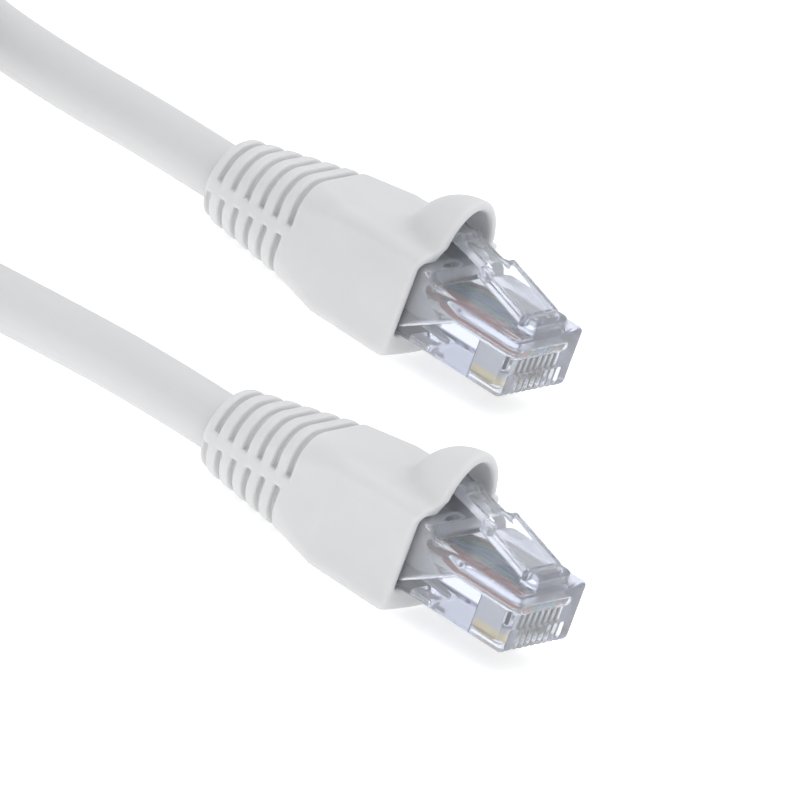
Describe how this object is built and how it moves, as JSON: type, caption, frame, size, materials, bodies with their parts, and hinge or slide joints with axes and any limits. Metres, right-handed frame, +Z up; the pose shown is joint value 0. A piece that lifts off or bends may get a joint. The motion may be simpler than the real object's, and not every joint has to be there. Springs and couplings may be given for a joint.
{
  "type": "ethernet patch cable",
  "caption": "White patch cable with clear modular plugs in snagless boots at both ends, laid out with its spare length in a tied coil; the plug latches press down.",
  "frame": {"origin": "on the surface that the cable lies on, midway along and across the two plug ends", "axes": "+X the way both plugs point, +Z up, end a on the +Y side and end b on the -Y side"},
  "size_m": [0.1922, 0.08, 0.0178],
  "materials": {
    "clear_polycarbonate": "clear moulded polycarbonate with a faint cool tint",
    "boot_elastomer": "white soft moulded PVC, satin",
    "cable_jacket": "white extruded PVC jacket, satin",
    "contact_gold": "gold plate over nickel plate",
    "tie_strap": "white hook-and-loop strap",
    "wire_white_orange": "white with an orange stripe wire insulation, satin",
    "wire_orange": "orange wire insulation, satin",
    "wire_white_green": "white with a green stripe wire insulation, satin",
    "wire_blue": "blue wire insulation, satin",
    "wire_white_blue": "white with a blue stripe wire insulation, satin",
    "wire_green": "green wire insulation, satin",
    "wire_white_brown": "white with a brown stripe wire insulation, satin",
    "wire_brown": "brown wire insulation, satin"
  },
  "bodies": {
    "cable_body": {"plug_housing_a": "clear_polycarbonate", "boot_a": "boot_elastomer", "cable_end_a": "cable_jacket", "contact_1_a": "contact_gold", "wire_1_a": "wire_white_orange", "contact_2_a": "contact_gold", "wire_2_a": "wire_orange", "contact_3_a": "contact_gold", "wire_3_a": "wire_white_green", "contact_4_a": "contact_gold", "wire_4_a": "wire_blue", "contact_5_a": "contact_gold", "wire_5_a": "wire_white_blue", "contact_6_a": "contact_gold", "wire_6_a": "wire_green", "contact_7_a": "contact_gold", "wire_7_a": "wire_white_brown", "contact_8_a": "contact_gold", "wire_8_a": "wire_brown", "plug_housing_b": "clear_polycarbonate", "boot_b": "boot_elastomer", "cable_end_b": "cable_jacket", "contact_1_b": "contact_gold", "wire_1_b": "wire_white_orange", "contact_2_b": "contact_gold", "wire_2_b": "wire_orange", "contact_3_b": "contact_gold", "wire_3_b": "wire_white_green", "contact_4_b": "contact_gold", "wire_4_b": "wire_blue", "contact_5_b": "contact_gold", "wire_5_b": "wire_white_blue", "contact_6_b": "contact_gold", "wire_6_b": "wire_green", "contact_7_b": "contact_gold", "wire_7_b": "wire_white_brown", "contact_8_b": "contact_gold", "wire_8_b": "wire_brown", "cable_lead_a": "cable_jacket", "cable_lead_b": "cable_jacket", "cable_coil": "cable_jacket", "coil_tie": "tie_strap"},
    "latch_a": {"latch_tab_a": "clear_polycarbonate"},
    "latch_b": {"latch_tab_b": "clear_polycarbonate"}
  },
  "joints": [
    {"name": "latch_press_a", "type": "hinge", "parent": "cable_body", "child": "latch_a", "pos_m": [-0.00115, 0.0255, 0.0103], "axis": [0, -1, 0], "range_deg": [0, 8], "stiffness_Nm_per_rad": 0.05},
    {"name": "latch_press_b", "type": "hinge", "parent": "cable_body", "child": "latch_b", "pos_m": [0.03885, -0.0255, 0.0103], "axis": [0, -1, 0], "range_deg": [0, 8], "stiffness_Nm_per_rad": 0.05}
  ]
}
